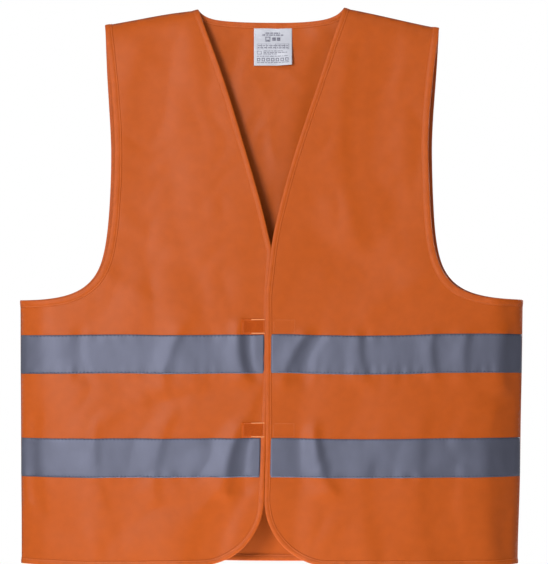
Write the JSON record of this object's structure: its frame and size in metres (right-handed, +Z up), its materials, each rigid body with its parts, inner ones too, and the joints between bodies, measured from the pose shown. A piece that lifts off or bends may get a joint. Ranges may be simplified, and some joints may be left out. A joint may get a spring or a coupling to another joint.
{
  "type": "high visibility vest",
  "caption": "Sleeveless open-front safety vest of orange knit with bound edges, horizontal reflective bands, hook and loop closure patches and a sewn-in neck label.",
  "frame": {"origin": "middle of the neck opening, level with the neck ends of the shoulders, where a hanger or a wearer's neck holds the vest", "axes": "+Z up, -Y out of the vest's front, +X towards the wearer's left"},
  "size_m": [0.6516, 0.0683, 0.7193],
  "materials": {
    "orange_knit": "fluorescent orange warp-knitted polyester, matt with a faint sheen",
    "orange_binding": "folded orange polyester binding tape, fine cross ribs",
    "reflective_silver": "glass-bead retroreflective tape, satin grey",
    "thread_grey": "grey polyester sewing thread",
    "loop_orange": "napped loop fastener",
    "hook_orange": "moulded hook fastener on woven tape",
    "white_satin": "white woven satin label"
  },
  "bodies": {
    "vest": {"back_panel": "orange_knit", "back_upper_band": "reflective_silver", "back_lower_band": "reflective_silver", "back_upper_band_stitching": "thread_grey", "back_lower_band_stitching": "thread_grey", "back_hem_binding": "orange_binding", "neck_binding": "orange_binding", "right_front_panel": "orange_knit", "right_front_hem_binding": "orange_binding", "right_armhole_binding": "orange_binding", "right_side_seam": "orange_binding", "right_shoulder_seam": "orange_binding", "right_front_upper_band": "reflective_silver", "right_front_upper_band_stitching": "thread_grey", "right_front_lower_band": "reflective_silver", "right_front_lower_band_stitching": "thread_grey", "left_front_panel": "orange_knit", "left_front_hem_binding": "orange_binding", "left_armhole_binding": "orange_binding", "left_side_seam": "orange_binding", "left_shoulder_seam": "orange_binding", "left_front_upper_band": "reflective_silver", "left_front_upper_band_stitching": "thread_grey", "left_front_lower_band": "reflective_silver", "left_front_lower_band_stitching": "thread_grey"},
    "right_flap": {"right_front_flap": "orange_knit", "right_front_edge_binding": "orange_binding", "right_front_upper_band_flap": "reflective_silver", "right_front_upper_band_stitching_flap": "thread_grey", "right_front_lower_band_flap": "reflective_silver", "right_front_lower_band_stitching_flap": "thread_grey", "upper_loop_patch": "loop_orange", "lower_loop_patch": "loop_orange"},
    "left_flap": {"left_front_flap": "orange_knit", "left_front_edge_binding": "orange_binding", "left_front_upper_band_flap": "reflective_silver", "left_front_upper_band_stitching_flap": "thread_grey", "left_front_lower_band_flap": "reflective_silver", "left_front_lower_band_stitching_flap": "thread_grey", "upper_hook_patch": "hook_orange", "lower_hook_patch": "hook_orange"},
    "label": {"care_label": "white_satin"}
  },
  "joints": [
    {"name": "right_front_open", "type": "hinge", "parent": "vest", "child": "right_flap", "pos_m": [-0.08229, -0.01326, -0.03586], "axis": [-0.1695, -0.0345, -0.9849], "range_deg": [0, 165]},
    {"name": "left_front_open", "type": "hinge", "parent": "vest", "child": "left_flap", "pos_m": [0.08223, -0.01326, -0.03586], "axis": [-0.1696, 0.0345, 0.9849], "range_deg": [0, 165]},
    {"name": "label_flip", "type": "hinge", "parent": "vest", "child": "label", "pos_m": [0.002, 0.00757, -0.0276], "axis": [-1, 0, 0], "range_deg": [0, 150]}
  ]
}
